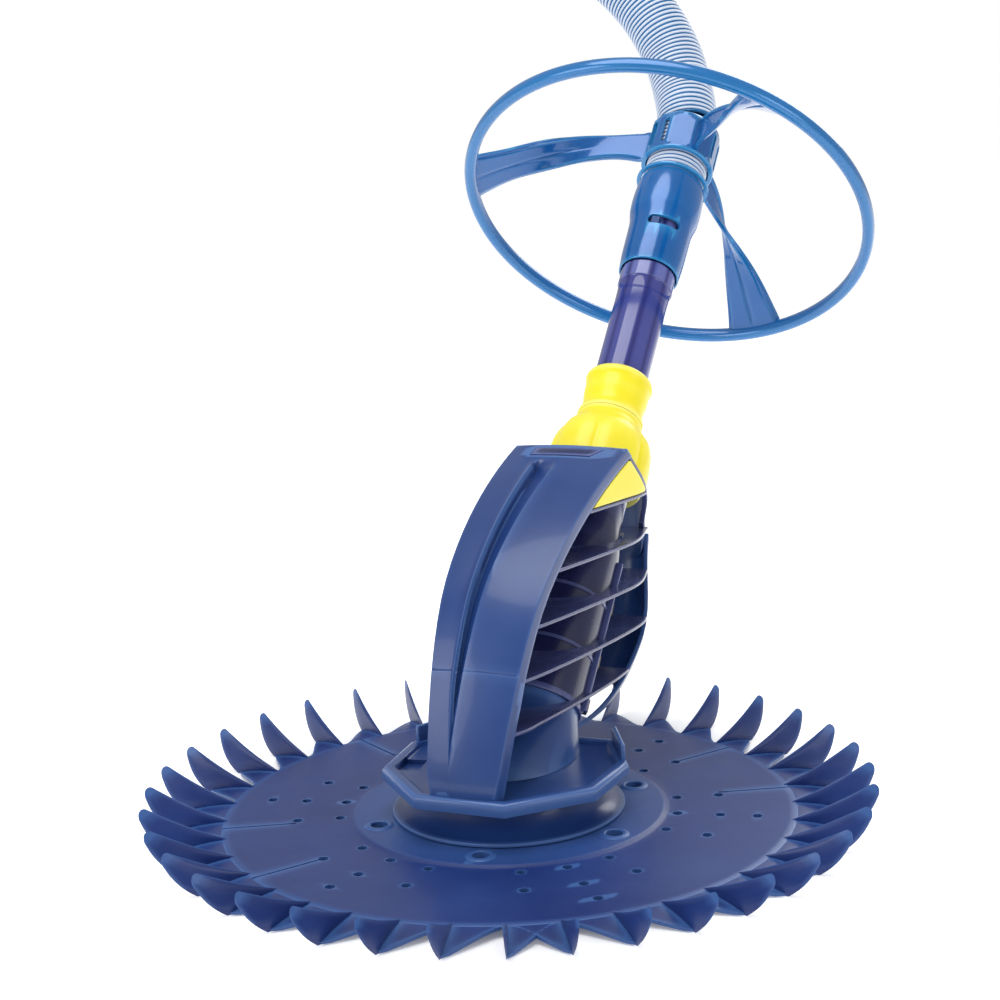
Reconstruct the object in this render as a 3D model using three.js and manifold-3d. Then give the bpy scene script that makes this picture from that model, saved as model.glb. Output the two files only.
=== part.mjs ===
// Suction pool cleaner: a finned disc that hugs the floor, a leaning open body with its diaphragm
// cassette, an extension pipe, a deflector wheel and the first stretch of suction hose.
// Millimetres, +Z up. The floor is Z = 0. The front of the cleaner faces -Y, and its pipe leans
// back towards +Y. The origin lies under the middle of the cleaner without its hose, and the disc
// turns about the upright line through AXIS_Y.
import * as THREE from "three";
import { mergeVertices } from "three/addons/utils/BufferGeometryUtils.js";
import Module from "manifold-3d";

const wasm = await Module();
wasm.setup();

// ---------- driving dimensions ----------
const GAP = 0.3; // clearance between neighbouring pieces
const AXIS_Y = -120; // where the disc's axis stands, along Y
const DISC_PLANE = 5; // height of the disc's middle plane above the floor
const LEAN = THREE.MathUtils.degToRad(45.4); // lean of the pipe axis from the vertical
const STEM_BACK = -7.3; // where the pipe axis crosses the disc plane, behind the disc's axis

const DISC = { valley: 190, bore: 66, thickness: 3, padRadius: 103, padTop: 8 };
const FIN = { count: 36, root: 184, toe: 221, tip: 241, height: 24.6, thickness: 2.4, lean: 9.5 };
const DISC_AXIS = -63.3; // direction of the disc's line of symmetry, in degrees from +X
const FOOT = { bore: 38, flange: 77, spigot: DISC.bore - GAP, top: 30.7 };
const FLANGE = { bottom: FOOT.top + GAP, top: 40 };
const DUCT = { bore: 27, throat: 31, throatTop: 79.7 };
const CHAMBER = { bottom: 80, top: 205, outer: 33, inner: 30 };
const SHELL = { wall: 3, top: 258, earTop: 298, lip: 9 };
const LOUVRE = { count: 5, first: 72.5, pitch: 31.8, slope: 0.079, thickness: 2.4 };
const COLLAR = { bottom: 262.3, top: 318 };
const NUT = { bottom: COLLAR.top + GAP, top: 355 };
const PIPE = { outer: 20.15, inner: 17.9, bottom: 300, top: 478 };
const INNER_PIPE = { outer: 15.9, inner: 13.9, bottom: 207.5, top: 492 };
const COUPLING = { bottom: 457, top: 548 };
const WHEEL = { hubBottom: 566, hubTop: 605, plane: 523.5, radius: 159.5, hubOuter: 29.2 };
const HOSE = { outer: 24.4, inner: 21, bottom: 549 };

// the hose's middle line, from the mouth of the wheel hub up to its upper cuff
const HOSE_ROUTE = [
  [0, 308.5, 435], [-4, 318.5, 448.5], [-9, 328, 461], [-16, 338, 477], [-24, 347, 493],
  [-34, 354, 509], [-45, 360, 524], [-58, 365, 539], [-72, 368, 553], [-87, 370, 566],
  [-102, 371, 579], [-118, 371, 592], [-134, 370, 604], [-150, 368, 616], [-166, 365, 628],
  [-182, 361, 639], [-199, 357, 649],
];
const CUFF = { length: 70, outer: 27, collar: 29.5 };

// ---------- colours and finishes ----------
const finish = (color, roughness, metalness = 0) =>
  new THREE.MeshStandardMaterial({ color, roughness, metalness });
const NAVY = finish(0x1b2b78, 0.35);
const DISC_BLUE = finish(0x23367f, 0.5);
const DARK = finish(0x12164a, 0.25);
const YELLOW = finish(0xf6e21c, 0.35);
const SKY = finish(0x1470b8, 0.2);
const INDIGO = finish(0x2a2f86, 0.15);
const RUBBER = finish(0x20222a, 0.7);
const GREY = finish(0xb9bdc4, 0.5);
const STEEL = finish(0xb8b09a, 0.3, 1);
const HOSE_BLUE = finish(0xa9c9e6, 0.5);

// ---------- helpers ----------
// the leaning frame: its z runs up the pipe, its y is square to the pipe and points down at the back
const stem = new THREE.Group();
stem.position.set(0, STEM_BACK, DISC_PLANE);
stem.rotation.x = -LEAN;
stem.updateMatrixWorld(true);
const toStem = stem.matrixWorld.clone().invert();

// a geometry with merged corners and no empty triangles, as a manifold solid facing outwards
function solid(geometry) {
  const bare = new THREE.BufferGeometry();
  bare.setAttribute("position", geometry.getAttribute("position").clone());
  if (geometry.index) bare.setIndex(geometry.index.clone());
  const merged = mergeVertices(bare, 1e-4);
  const index = Array.from(merged.index.array);
  const triangles = [];
  for (let i = 0; i < index.length; i += 3) {
    const [a, b, c] = index.slice(i, i + 3);
    if (a !== b && b !== c && c !== a) triangles.push(a, b, c);
  }
  const vertProperties = new Float32Array(merged.getAttribute("position").array);
  const build = (list) => new wasm.Manifold(
    new wasm.Mesh({ numProp: 3, vertProperties, triVerts: new Uint32Array(list) }));
  const made = build(triangles);
  return made.volume() > 0 ? made : build(triangles.reverse());
}

// a solid as a named mesh in a group, with specks under 0.02 mm cleaned away
function addMesh(group, name, shape, material) {
  const { vertProperties, triVerts } = shape.simplify(0.02).getMesh();
  const geometry = new THREE.BufferGeometry();
  geometry.setAttribute("position", new THREE.BufferAttribute(vertProperties, 3));
  geometry.setIndex(new THREE.BufferAttribute(triVerts, 1));
  geometry.computeVertexNormals();
  const mesh = new THREE.Mesh(geometry, material);
  mesh.name = name;
  group.add(mesh);
}

// a body turned about the z axis from a closed [radius, height] profile
function turned(profile, segments = 28) {
  const closed = [...profile, profile[0]].map(([r, z]) => new THREE.Vector2(r, z));
  return solid(new THREE.LatheGeometry(closed, segments).rotateX(Math.PI / 2));
}

const pipe = (outer, inner, bottom, top, segments) =>
  turned([[inner, bottom], [outer, bottom], [outer, top], [inner, top]], segments);

function plate(points, bottom, top) {
  const shape = new THREE.Shape(points.map(([x, y]) => new THREE.Vector2(x, y)));
  const options = { depth: top - bottom, bevelEnabled: false, curveSegments: 8 };
  return solid(new THREE.ExtrudeGeometry(shape, options).translate(0, 0, bottom));
}

const rod = (radius, bottom, top, sides = 24) =>
  new THREE.CylinderGeometry(radius, radius, top - bottom, sides)
    .rotateX(Math.PI / 2).translate(0, 0, (top + bottom) / 2);

const block = (sizeX, sizeY, sizeZ, x, y, z) =>
  new THREE.BoxGeometry(sizeX, sizeY, sizeZ).translate(x, y, z);

const polar = (radius, degrees) => {
  const angle = THREE.MathUtils.degToRad(degrees);
  return [radius * Math.cos(angle), radius * Math.sin(angle)];
};

// a polygon in the leaning frame's y, z plane, drawn out to both sides along x
function sideCut(points, halfWidth = 70) {
  const shape = new THREE.Shape(points.map(([p, a]) => new THREE.Vector2(p, a)));
  const geometry = new THREE.ExtrudeGeometry(shape, { depth: 2 * halfWidth, bevelEnabled: false });
  const axes = new THREE.Matrix4().makeBasis(
    new THREE.Vector3(0, 1, 0), new THREE.Vector3(0, 0, 1), new THREE.Vector3(1, 0, 0));
  return solid(geometry.applyMatrix4(axes).translate(-halfWidth, 0, 0));
}

// the upright frame: its z is the disc's axis, and it carries the leaning frame
const upright = new THREE.Group();

// ---------- finned disc ----------
// One fin: a flat petal beside the crease, and a blade that stands up from the crease.
// side is +1 where the petal lies anticlockwise of the crease, and -1 on the mirrored half.
function makeFin(degrees, side, lean) {
  const t = FIN.thickness;
  const outline = [
    [FIN.root, -side * 1.2], [FIN.toe, -side * 1.2], [FIN.toe - 3, side * 6],
    [200, side * 18], [DISC.valley - 1, side * 29],
  ];
  const petal = new THREE.ExtrudeGeometry(
    new THREE.Shape(outline.map(([x, y]) => new THREE.Vector2(x, y))),
    { depth: DISC.thickness, bevelEnabled: false });
  petal.translate(0, 0, DISC_PLANE - DISC.thickness / 2);
  const points = petal.getAttribute("position");
  const droop = (DISC_PLANE - DISC.thickness / 2) / (FIN.toe - DISC.valley);
  for (let i = 0; i < points.count; i += 1) {
    const out = Math.max(0, points.getX(i) - DISC.valley);
    points.setZ(i, points.getZ(i) - Math.min(out, FIN.toe - DISC.valley) * droop);
  }
  const profile = [
    [FIN.root + 2, 1], [214, 12], [FIN.tip - 5, FIN.height], [FIN.tip, FIN.height],
    [FIN.tip + 1, FIN.height - 4], [FIN.tip - 4, 10], [FIN.toe, -3.5], [FIN.root + 8, -1.2],
  ];
  const blade = new THREE.ExtrudeGeometry(
    new THREE.Shape(profile.map(([r, z]) => new THREE.Vector2(r, z))),
    { depth: t, bevelEnabled: false });
  blade.rotateX(Math.PI / 2).translate(0, t / 2, DISC_PLANE);
  const shear = new THREE.Matrix4().makeShear(0, 0, 0, 0, 0, -side * lean / FIN.height);
  blade.translate(0, 0, -DISC_PLANE).applyMatrix4(shear).translate(0, 0, DISC_PLANE);
  const turn = THREE.MathUtils.degToRad(degrees);
  return solid(petal.rotateZ(turn)).add(solid(blade.rotateZ(turn)));
}

function makeDisc() {
  const bottom = DISC_PLANE - DISC.thickness / 2;
  const top = DISC_PLANE + DISC.thickness / 2;
  let disc = turned([
    [DISC.bore, bottom], [DISC.valley, bottom], [DISC.valley, top],
    [DISC.padRadius + 3, top], [DISC.padRadius, DISC.padTop], [DISC.bore, DISC.padTop],
  ], 60);
  const half = FIN.count / 2;
  const pitch = 360 / FIN.count;
  for (let k = 0; k < half; k += 1) {
    const swing = FIN.lean * Math.sin((Math.PI * (k + 0.5)) / half);
    const offset = pitch * (k + 0.5) - THREE.MathUtils.radToDeg(swing / FIN.tip);
    disc = disc.add(makeFin(DISC_AXIS - offset, 1, swing)).add(makeFin(DISC_AXIS + offset, -1, swing));
  }
  const drill = (radius, distance, degrees, sides) => {
    const [x, y] = polar(distance, degrees);
    disc = disc.subtract(solid(rod(radius, -2, DISC.padTop + 2, sides).translate(x, y, 0)));
  };
  for (let sector = 0; sector < 6; sector += 1) {
    const middle = 60 * sector - 49;
    drill(5.5, 89, middle - 30, 10);
    drill(3.2, 164, middle, 6);
    for (const step of [-15, 0, 15]) {
      drill(3.2, 112, middle + step, 6);
      drill(3.2, 140, middle + step, 6);
    }
  }
  for (const degrees of [-152, -124, 28, 56, 116, 148]) {
    const slit = block(56, 1.4, 12, 168, 0, DISC_PLANE).rotateZ(THREE.MathUtils.degToRad(degrees));
    disc = disc.subtract(solid(slit));
  }
  return disc;
}
addMesh(upright, "finned_disc", makeDisc(), DISC_BLUE);

// ---------- foot ----------
addMesh(upright, "foot_pad", pipe(76, FOOT.bore, 0, DISC_PLANE - DISC.thickness / 2 - GAP), RUBBER);
addMesh(upright, "foot_hub", turned([
  [FOOT.bore, 3.5], [FOOT.spigot, 3.5], [FOOT.spigot, DISC.padTop + GAP],
  [FOOT.flange, DISC.padTop + GAP], [FOOT.flange, 10.5], [70, 13], [63, 18], [59, 25],
  [58, FOOT.top], [FOOT.bore, FOOT.top],
], 40), NAVY);

const FLANGE_CORNERS = [[31, -80], [75, -35], [79, 17], [56, 60]];
const flangeOutline = [
  ...FLANGE_CORNERS, ...FLANGE_CORNERS.map(([x, y]) => [-x, y]).reverse(),
];
const leaningDuct = solid(rod(DUCT.bore, -40, 120, 32).applyMatrix4(stem.matrixWorld));
const flangeSlot = solid(block(26, 7, 30, -62, -22, FLANGE.top).rotateZ(0));
addMesh(upright, "body_flange",
  plate(flangeOutline, FLANGE.bottom, FLANGE.top).subtract(leaningDuct).subtract(flangeSlot), NAVY);

// ---------- leaning body ----------
// Everything below the flange's top face is cut away from the leaning pieces.
const belowFlange = solid(block(400, 800, 400, 0, 0, FLANGE.top + GAP - 200).applyMatrix4(toStem));

const throatProfile = (extra) => [
  [44 + extra, 0], [42 + extra, 35], [36 + extra, 62], [DUCT.throat + extra, DUCT.throatTop],
];
addMesh(stem, "throat", turned([
  [DUCT.bore, 0], ...throatProfile(0), [DUCT.bore, DUCT.throatTop],
]).subtract(belowFlange), NAVY);

const frontDepth = (a) => 112.6 - 0.0098 * Math.abs(a - 100) ** 1.72;
const rearDepth = (a) => Math.max(111 - 0.0014 * Math.abs(a - 197) ** 2.28, 60 - frontDepth(a));
const frontHalfWidth = (a) => 25.6 + 0.098 * a - 0.00014 * a * a;
const BULGE = 5;

// The body's outer form, drawn in by inset: a barrel whose rings become the body's sections.
// Each section has a flat front with sharp corners, swelling sides and a rounded back.
// Forms used as cutters run over by a few millimetres at both ends.
const RING = { count: 36, front: 6, side: 15 };
function bodyForm(inset, overrun = 0) {
  const geometry = new THREE.CylinderGeometry(1, 1, 1, RING.count, 21).rotateX(Math.PI / 2);
  const points = geometry.getAttribute("position");
  for (let i = 0; i < points.count; i += 1) {
    const level = points.getZ(i) * 2;
    const a = THREE.MathUtils.lerp(-16, 299, (level + 1) / 2)
      + (Math.abs(level) > 0.999 ? Math.sign(level) * overrun : 0);
    const front = -frontDepth(a) + inset;
    const rear = rearDepth(a) - inset;
    const corner = frontHalfWidth(a) - inset;
    const radius = Math.hypot(points.getX(i), points.getY(i));
    if (radius < 0.5) {
      points.setXYZ(i, 0, (front + rear) / 2, a);
      continue;
    }
    const angle = Math.atan2(points.getX(i), -points.getY(i));
    const step = (Math.abs(angle) / Math.PI) * (RING.count / 2);
    const side = Math.sign(angle);
    if (step <= RING.front / 2 + 1e-6) {
      const across = step / (RING.front / 2);
      points.setXYZ(i, side * corner * across, front - 2.5 * (1 - across ** 2), a);
      continue;
    }
    const along = (step - RING.front / 2) / RING.side;
    const shoulder = front + (rear - front) * 0.5;
    if (along <= 0.4) {
      const swell = BULGE * Math.sin((along / 0.4) * Math.PI / 2);
      points.setXYZ(i, side * (corner + swell), THREE.MathUtils.lerp(front, shoulder, along / 0.4), a);
    } else {
      const sweep = ((along - 0.4) / 0.6) * Math.PI / 2;
      const power = 2 / 2.5;
      const x = (corner + BULGE) * Math.max(0, Math.cos(sweep)) ** power;
      points.setXYZ(i, side * x, shoulder + (rear - shoulder) * Math.sin(sweep) ** power, a);
    }
  }
  return solid(geometry);
}

// stations along the pipe axis, for outlines that follow the body's curves
const stations = (from, to, count) =>
  Array.from({ length: count + 1 }, (_, i) => from + ((to - from) * i) / count);
const rearEdge = (a) => 76 - 0.0035 * Math.abs(a - 190) ** 2.02 - Math.max(0, a - 240) * 0.1;

const bodyOuter = bodyForm(0);
const bodyShell = bodyOuter.subtract(bodyForm(SHELL.wall, 4));
const aboveTop = solid(block(200, 400, 100, 0, 0, SHELL.top + 50));
// the zones of the front band and of the rear channel, moved inwards by an extra margin
const frontZone = (extra) => sideCut([
  ...stations(-20, 300, 16).map((a) => [SHELL.lip + extra - frontDepth(a), a]),
  [-160, 300], [-160, -20],
]);
const rearZone = (extra) => sideCut([
  ...stations(40, 300, 13).map((a) => [rearEdge(a) - extra, a]), [160, 300], [160, 40],
]);
const betweenBands = (shape) => shape.subtract(frontZone(GAP)).subtract(rearZone(GAP));

// height of a louvre's middle plane: the louvres slope down a little towards the back
const louvrePlane = (level, thickness, lift = 0) => {
  const geometry = block(200, 700, thickness, 0, 0, 0).rotateX(-Math.atan(LOUVRE.slope));
  geometry.translate(0, 0, LOUVRE.first + level * LOUVRE.pitch + lift);
  return solid(geometry.applyMatrix4(toStem));
};

// front shell: a crowned band with a long tapering groove and a recess for its label plate
const grooveShape = new THREE.Shape();
grooveShape.moveTo(-16, 232);
grooveShape.quadraticCurveTo(-8, 246, 0, 232);
grooveShape.lineTo(-7.4, 37);
grooveShape.lineTo(-9.3, 11);
grooveShape.lineTo(-12.4, 38);
grooveShape.closePath();
const grooveCut = solid(new THREE.ExtrudeGeometry(
  grooveShape, { depth: 150, bevelEnabled: false, curveSegments: 6 }).rotateX(Math.PI / 2));
const labelCut = solid(block(54, 80, 12, 0, -60, 249));
const skin = bodyOuter.subtract(bodyForm(1.3, 4));
const frontShell = bodyShell.intersect(frontZone(0)).subtract(aboveTop).subtract(belowFlange)
  .subtract(grooveCut.intersect(skin)).subtract(labelCut.intersect(skin));
addMesh(stem, "front_shell", frontShell, NAVY);
const labelForm = bodyForm(0.4).subtract(bodyForm(1.1, 4));
addMesh(stem, "label_plate",
  labelForm.intersect(solid(block(53, 80, 11, 0, -60, 249))), DARK);

// rear shell: a channel round the back, rising behind the neck as a narrow ear
const earSides = solid(block(60, 400, 100, 57, 0, SHELL.top + 50))
  .add(solid(block(60, 400, 100, -57, 0, SHELL.top + 50)));
const aboveEar = solid(block(200, 400, 100, 0, 0, SHELL.earTop + 50));
const insertBand = (inset) => louvrePlane(0.5, LOUVRE.pitch - 5 - 2 * inset);
const windowSides = (inset) => solid(block(19 - 2 * inset, 150, 400, 21.5, 75, 150))
  .add(solid(block(19 - 2 * inset, 150, 400, -21.5, 75, 150)));
const recess = bodyOuter.subtract(bodyForm(1.6, 4));
const rearWindow = recess.intersect(insertBand(0)).intersect(windowSides(0));
addMesh(stem, "rear_shell",
  bodyShell.intersect(rearZone(0)).subtract(aboveEar).subtract(earSides).subtract(belowFlange)
    .subtract(rearWindow), NAVY);

// body core: the chamber tube with its neck cone, and the louvres that reach out to the bands
let core = turned([
  [CHAMBER.inner, CHAMBER.bottom], [CHAMBER.outer, CHAMBER.bottom], [CHAMBER.outer, CHAMBER.top],
  [31, 214], [27.5, 226], [27.5, 262], [24.8, 262], [24.8, 226], [28, 214], [CHAMBER.inner, CHAMBER.top],
]);
const coreBore = turned([
  [0, -30], [44.4, -30], ...throatProfile(2 * GAP), [CHAMBER.inner + 1, CHAMBER.bottom],
  [CHAMBER.inner + 1, CHAMBER.top], [29, 214], [26, 226], [26, 320], [0, 320],
]);
const louvreForm = betweenBands(bodyOuter).subtract(belowFlange).subtract(aboveTop)
  .subtract(coreBore);
for (let level = 0; level < LOUVRE.count; level += 1) {
  core = core.add(louvreForm.intersect(louvrePlane(level, LOUVRE.thickness)));
}
addMesh(stem, "body_core", core, DARK);

// yellow inserts: a pair high at the front and a pair low at the back
const insertSkin = bodyForm(0.3).subtract(bodyForm(2.6, 4));
const topBand = louvrePlane(LOUVRE.count - 1, 80, 40 + LOUVRE.thickness / 2 + GAP);
const frontInsert = betweenBands(insertSkin).intersect(topBand)
  .subtract(solid(block(200, 400, 100, 0, 0, SHELL.top + 49)))
  .intersect(sideCut([[-160, 100], [-160, 300], [-8, 300], [-8, 100]]));
const rearSkin = bodyForm(0.1).subtract(bodyForm(1.2, 4));
const rearInsert = rearSkin.intersect(insertBand(GAP)).intersect(windowSides(GAP));
for (const [side, sign] of [["right", 1], ["left", -1]]) {
  const half = solid(block(100, 400, 700, sign * 50.5, 0, 100));
  addMesh(stem, `front_insert_${side}`, frontInsert.intersect(half), YELLOW);
  addMesh(stem, `rear_insert_${side}`, rearInsert.intersect(half), YELLOW);
}

// spring clips that hold the two halves of the chamber together
for (const [side, sign] of [["right", 1], ["left", -1]]) {
  [91, 125, 167].forEach((a, number) => {
    const clip = block(3, 7, 9, 0, 0, 0).translate(CHAMBER.outer + GAP + 1.6, 0, a)
      .rotateZ(THREE.MathUtils.degToRad(90 - sign * 62));
    addMesh(stem, `chamber_clip_${side}_${number + 1}`, solid(clip), STEEL);
  });
}

// ---------- cassette inside the chamber ----------
addMesh(stem, "cassette_seat", pipe(29.7, 18, CHAMBER.bottom + GAP, 88), GREY);
addMesh(stem, "cassette_sleeve", turned([
  [27.4, 88.3], [29.7, 88.3], [29.7, 196], [27.4, 196],
]), GREY);
addMesh(stem, "diaphragm", turned([
  [19, 89], [26.9, 89], [26.9, 95], [22, 104], [16.5, 142], [22, 180], [26.9, 188], [26.9, 195],
  [19, 195], [19, 184], [13.5, 142], [19, 100],
]), RUBBER);
addMesh(stem, "cassette_ring", turned([
  [16.5, 196.3], [29.7, 196.3], [29.7, 204], [24, 206.5], [16.5, 206.5],
]), GREY);

// ---------- extension pipes, neck and nut ----------
addMesh(stem, "inner_pipe", pipe(INNER_PIPE.outer, INNER_PIPE.inner, INNER_PIPE.bottom, INNER_PIPE.top), INDIGO);
addMesh(stem, "outer_pipe", turned([
  [PIPE.inner, PIPE.bottom], [PIPE.outer, PIPE.bottom], [PIPE.outer, 442], [21.3, 443], [21.3, 456],
  [PIPE.outer, 457], [PIPE.outer, PIPE.top], [PIPE.inner, PIPE.top],
]), INDIGO);
addMesh(stem, "neck_collar", turned([
  [28, COLLAR.bottom], [36, COLLAR.bottom], [36.5, 280], [35, 293], [31, 304], [25.5, 313], [24, COLLAR.top],
  [20.6, COLLAR.top], [20.6, 308], [23.2, 308], [23.2, 303.2], [20.6, 303.2], [20.6, 290], [28, 280],
]), YELLOW);
addMesh(stem, "pipe_seal", turned([
  [20.5, 303.6], [22.9, 303.6], [22.9, 307.6], [20.5, 307.6],
]), RUBBER);
addMesh(stem, "hand_nut", turned([
  [20.6, NUT.bottom], [22.9, NUT.bottom], [22.8, 325], [24, 337], [23.9, 348], [25, 349.5],
  [25, 353], [23.5, NUT.top], [20.6, NUT.top],
]), YELLOW);

// ---------- twist-lock coupling ----------
const SLOT = { middle: -64, reach: 27, bottom: 490, top: 498.5 };
const wedge = () => {
  const steps = stations(SLOT.middle - SLOT.reach, SLOT.middle + SLOT.reach, 8);
  return plate([[0, 0], ...steps.map((degrees) => polar(36, degrees))], SLOT.bottom, SLOT.top);
};
const coupling = turned([
  [22, COUPLING.bottom], [23.4, COUPLING.bottom], [24.4, 470], [24.9, 503], [27, 512],
  [27.4, 528], [26.6, 541], [25.4, COUPLING.top], [21, COUPLING.top], [21, 512], [22.6, 505], [22.2, 470],
]).subtract(wedge().subtract(solid(rod(21, 480, 510))));
addMesh(stem, "twist_coupling", coupling, SKY);
const lugAngle = THREE.MathUtils.degToRad(SLOT.middle - SLOT.reach + 10);
addMesh(stem, "lock_lug", solid(
  block(5, 6, 6, PIPE.outer + GAP + 1.2, 0, 0).translate(0, 0, 494.2).rotateZ(lugAngle)), SKY);
addMesh(stem, "hub_clip", pipe(29, 25.7, COUPLING.top + GAP, COUPLING.top + 2.4), SKY);

// ---------- deflector wheel ----------
const ringPoints = new THREE.Path().absellipse(WHEEL.radius, WHEEL.plane, 4.4, 4.6, 0, Math.PI * 2)
  .getPoints(6).slice(0, 6).map((point) => [point.x, point.y]);
let wheel = turned(ringPoints, 60).add(turned([
  [25.2, WHEEL.hubBottom], [WHEEL.hubOuter, WHEEL.hubBottom], [WHEEL.hubOuter, 600],
  [27.8, WHEEL.hubTop], [25.9, WHEEL.hubTop], [25.2, 598],
]));
// a spoke leaves the hub on edge, arches over and lies down flat where it meets the ring
function makeSpoke(degrees) {
  const geometry = new THREE.BoxGeometry(1, 1, 1, 12, 4, 1);
  const points = geometry.getAttribute("position");
  for (let i = 0; i < points.count; i += 1) {
    const t = points.getX(i) + 0.5;
    const radius = THREE.MathUtils.lerp(WHEEL.hubOuter - 2, WHEEL.radius, t);
    const height = WHEEL.plane + 62 * (1 - t ** 1.7);
    const width = 30 - 44 * t + 64 * t * t;
    const roll = (Math.PI / 2) * (1 - THREE.MathUtils.smoothstep(t, 0.15, 0.85));
    const across = points.getY(i) * width;
    const through = points.getZ(i) * 4;
    const y = across * Math.cos(roll) - through * Math.sin(roll);
    const z = across * Math.sin(roll) + through * Math.cos(roll);
    points.setXYZ(i, radius, y, height + z);
  }
  return solid(geometry.rotateZ(THREE.MathUtils.degToRad(degrees)));
}
const bore = solid(rod(25.2, 540, 640, 40));
for (const degrees of [-165, -45, 75]) wheel = wheel.add(makeSpoke(degrees).subtract(bore));
addMesh(stem, "deflector_wheel", wheel, SKY);

// ---------- hose ----------
addMesh(stem, "hose_end", pipe(HOSE.outer, HOSE.inner, COUPLING.top + GAP, WHEEL.hubTop), HOSE_BLUE);
const routePoints = HOSE_ROUTE.map(([x, y, z]) => new THREE.Vector3(x, y, z));
const hosePath = new THREE.CatmullRomCurve3(routePoints);
const hoseSection = new THREE.Shape().absarc(0, 0, HOSE.outer, 0, Math.PI * 2);
hoseSection.holes.push(new THREE.Path().absarc(0, 0, HOSE.inner, 0, Math.PI * 2));
const hoseGeometry = new THREE.ExtrudeGeometry(hoseSection, {
  steps: 9, curveSegments: 5, bevelEnabled: false, extrudePath: hosePath,
});
const trail = new THREE.Group();
addMesh(trail, "hose", solid(hoseGeometry), HOSE_BLUE);

// the upper cuff sits on the end of the hose, in line with it
const hoseTip = hosePath.getPointAt(1);
const tipDirection = hosePath.getTangentAt(1);
const cuff = new THREE.Group();
cuff.position.copy(hoseTip).addScaledVector(tipDirection, GAP);
cuff.quaternion.setFromUnitVectors(new THREE.Vector3(0, 0, 1), tipDirection);
addMesh(cuff, "hose_cuff", turned([
  [22, 0], [CUFF.outer, 0], [CUFF.outer, 44], [CUFF.collar, 46], [CUFF.collar, 54], [25.5, 56],
  [25, CUFF.length], [22, CUFF.length],
]), SKY);

upright.add(stem);
upright.position.y = AXIS_Y;
const group = new THREE.Group();
group.add(upright, trail, cuff);
export default group;
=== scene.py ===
import math

import bmesh
import bpy
from mathutils import Matrix, Vector


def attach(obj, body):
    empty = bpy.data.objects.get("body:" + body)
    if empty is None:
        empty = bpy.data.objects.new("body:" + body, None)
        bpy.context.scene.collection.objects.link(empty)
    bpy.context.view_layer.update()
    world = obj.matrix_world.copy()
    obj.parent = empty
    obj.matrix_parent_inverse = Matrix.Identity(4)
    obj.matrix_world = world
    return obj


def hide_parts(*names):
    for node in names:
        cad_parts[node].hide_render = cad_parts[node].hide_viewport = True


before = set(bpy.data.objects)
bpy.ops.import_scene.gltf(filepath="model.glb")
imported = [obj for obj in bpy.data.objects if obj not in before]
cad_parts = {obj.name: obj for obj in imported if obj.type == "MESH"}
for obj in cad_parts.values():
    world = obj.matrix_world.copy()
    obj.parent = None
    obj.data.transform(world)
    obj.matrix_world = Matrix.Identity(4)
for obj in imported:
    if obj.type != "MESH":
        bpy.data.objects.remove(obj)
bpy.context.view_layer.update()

# Studio: a camera at standing height in front and to the right, a pale floor and soft lights.
camera_data = bpy.data.cameras.new("camera")
camera_data.lens = 72
camera_data.sensor_width = 36
camera = bpy.data.objects.new("camera", camera_data)
camera.matrix_world = Matrix((
    (0.9222, -0.0403, 0.3847, 0.4969),
    (0.3845, 0.2045, -0.9001, -1.2757),
    (-0.0424, 0.9780, 0.2041, 0.4773),
    (0, 0, 0, 1),
))
bpy.context.scene.collection.objects.link(camera)
bpy.context.scene.camera = camera
bpy.context.scene.view_settings.view_transform = "Standard"


def soft_light(name, place, target, size, watts, tint=(1, 1, 1)):
    light = bpy.data.lights.new(name, "AREA")
    light.shape = "DISK"
    light.size = size
    light.energy = watts
    light.color = tint
    lamp = bpy.data.objects.new(name, light)
    lamp.location = place
    lamp.rotation_mode = "QUATERNION"
    lamp.rotation_quaternion = (Vector(target) - Vector(place)).to_track_quat("-Z", "Y")
    bpy.context.scene.collection.objects.link(lamp)


soft_light("overhead", (-0.2, -0.2, 1.9), (0, 0, 0.1), 1.3, 17)
soft_light("front_left", (-1.3, -1.6, 1.1), (0, 0, 0.2), 1.2, 13)
soft_light("right", (1.7, -0.5, 0.9), (0, 0, 0.25), 0.9, 6)
soft_light("behind", (0.3, 1.8, 1.3), (0, 0, 0.3), 1.2, 12)
world = bpy.data.worlds.new("studio")
world.use_nodes = True
sky_nodes, sky_links = world.node_tree.nodes, world.node_tree.links
backdrop = sky_nodes["Background"]
backdrop.inputs["Color"].default_value = (1, 1, 1, 1)
looked_at = sky_nodes.new("ShaderNodeLightPath")
sky_level = sky_nodes.new("ShaderNodeMapRange")
sky_level.inputs["To Min"].default_value = 0.5
sky_level.inputs["To Max"].default_value = 1.0
sky_links.new(looked_at.outputs["Is Camera Ray"], sky_level.inputs["Value"])
sky_links.new(sky_level.outputs["Result"], backdrop.inputs["Strength"])
bpy.context.scene.world = world

floor_mesh = bmesh.new()
bmesh.ops.create_circle(floor_mesh, cap_ends=True, radius=9, segments=64)
floor_data = bpy.data.meshes.new("floor")
floor_mesh.to_mesh(floor_data)
floor_mesh.free()
floor = bpy.data.objects.new("floor", floor_data)
floor.location.z = -0.0005
bpy.context.scene.collection.objects.link(floor)
floor_finish = bpy.data.materials.new("studio_floor")
floor_finish.use_nodes = True
floor_shader = floor_finish.node_tree.nodes["Principled BSDF"]
floor_shader.inputs["Base Color"].default_value = (0.93, 0.935, 0.94, 1)
floor_shader.inputs["Roughness"].default_value = 0.6
floor_shader.inputs["Emission Color"].default_value = (1, 1, 1, 1)
floor_nodes, floor_links = floor_finish.node_tree.nodes, floor_finish.node_tree.links
floor_place = floor_nodes.new("ShaderNodeTexCoord")
from_middle = floor_nodes.new("ShaderNodeVectorMath")
from_middle.operation = "DISTANCE"
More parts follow.
